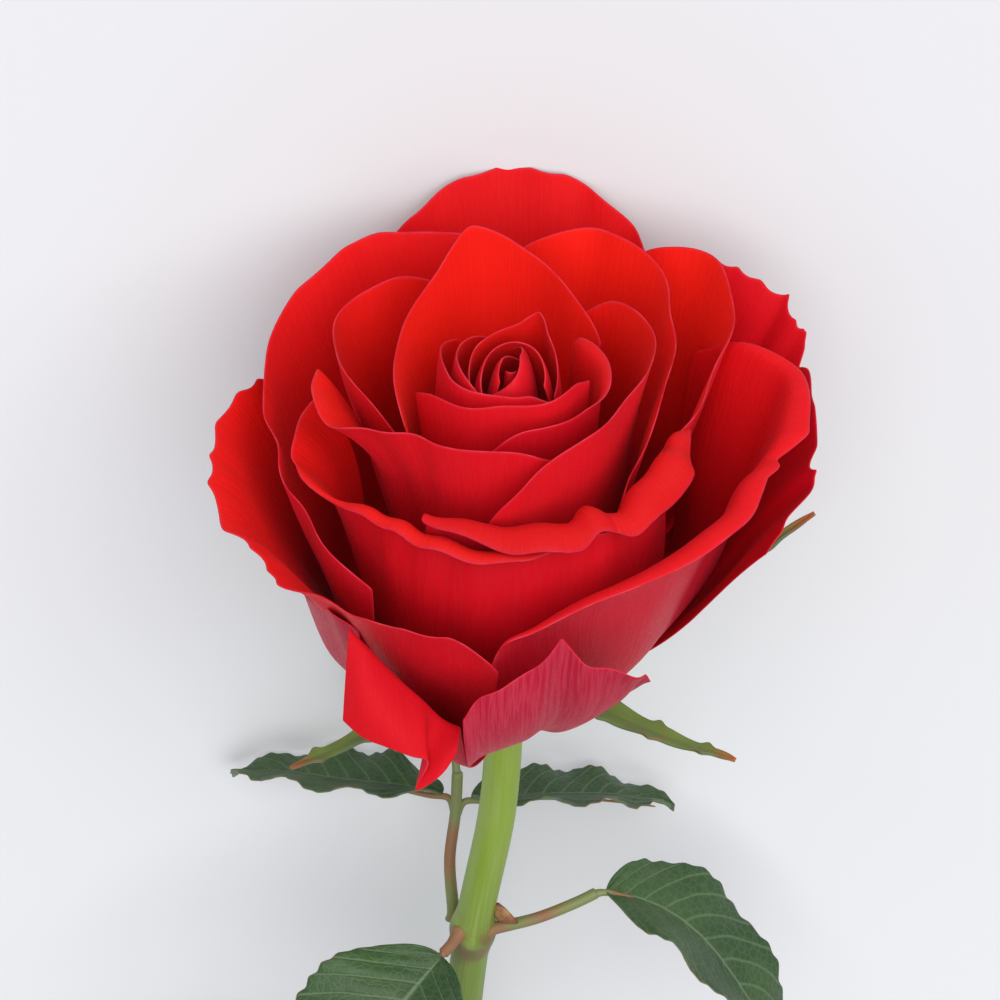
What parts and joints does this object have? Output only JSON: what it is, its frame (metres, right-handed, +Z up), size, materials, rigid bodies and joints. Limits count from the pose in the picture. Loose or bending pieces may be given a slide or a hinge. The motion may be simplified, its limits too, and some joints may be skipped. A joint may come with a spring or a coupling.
{
  "type": "cut rose",
  "caption": "Cut red rose lying on its side: full open flower head of separate overlapping petals, green sepals and hip, gently bent stem with prickles, and leaves.",
  "frame": {"origin": "centre of the bounding box's bottom face, on the surface that the rose lies on", "axes": "+Y along the stem from the head towards the cut end, +Z up away from the surface, the open face of the head towards -Y"},
  "size_m": [0.1608, 0.354, 0.0916],
  "materials": {
    "petal_heart": "velvety deep red petal, matte with a soft sheen",
    "petal_ring": "velvety bright red petal, fine lengthwise veins, matte with a soft sheen",
    "petal_guard": "velvety red inside, duller pinkish red outside, faint veins",
    "sepal": "matte green leaf tissue with a rusty tip",
    "hip": "smooth waxy green",
    "stem": "smooth waxy yellow-green bark with brownish patches at the nodes",
    "leaf_stalk": "matte green stalk, reddish at the joints",
    "leaf_blade": "semi-matte dark green blade with a net of veins, paler below"
  },
  "bodies": {
    "root": {"petal_heart_1": "petal_heart", "petal_heart_2": "petal_heart", "petal_heart_3": "petal_heart", "petal_heart_4": "petal_heart", "petal_heart_5": "petal_heart", "petal_heart_6": "petal_heart", "petal_heart_7": "petal_heart", "petal_inner_front": "petal_heart", "petal_inner_right": "petal_heart", "petal_pointed_back": "petal_ring", "petal_ring_left": "petal_ring", "petal_ring_front_left": "petal_ring", "petal_ring_right": "petal_ring", "petal_ring_back_right": "petal_ring", "petal_ring_outer_right": "petal_ring", "petal_lip_right": "petal_ring", "petal_lip_left": "petal_ring", "petal_guard_left_back": "petal_guard", "petal_guard_back": "petal_guard", "petal_guard_right": "petal_guard", "petal_guard_left": "petal_guard", "petal_outer_back_right": "petal_guard", "petal_outer_back_left": "petal_guard", "petal_outer_right": "petal_guard", "petal_outer_left": "petal_guard", "petal_fold_left": "petal_guard", "petal_fold_front": "petal_guard", "hip": "hip", "sepal_right": "sepal", "sepal_back_right": "sepal", "sepal_back": "sepal", "sepal_back_left": "sepal", "sepal_left": "sepal", "stem": "stem", "leaf_behind_stalk": "leaf_stalk", "leaf_behind_left": "leaf_blade", "leaf_behind_right": "leaf_blade", "leaf_behind_end": "leaf_blade", "leaf_right_stalk": "leaf_stalk", "leaf_right_blade": "leaf_blade", "leaf_front_stalk": "leaf_stalk", "leaf_front_blade": "leaf_blade", "leaf_low_stalk": "leaf_stalk", "leaf_low_near_up": "leaf_blade", "leaf_low_near_down": "leaf_blade", "leaf_low_far_up": "leaf_blade", "leaf_low_far_down": "leaf_blade", "leaf_low_end": "leaf_blade"}
  },
  "joints": []
}
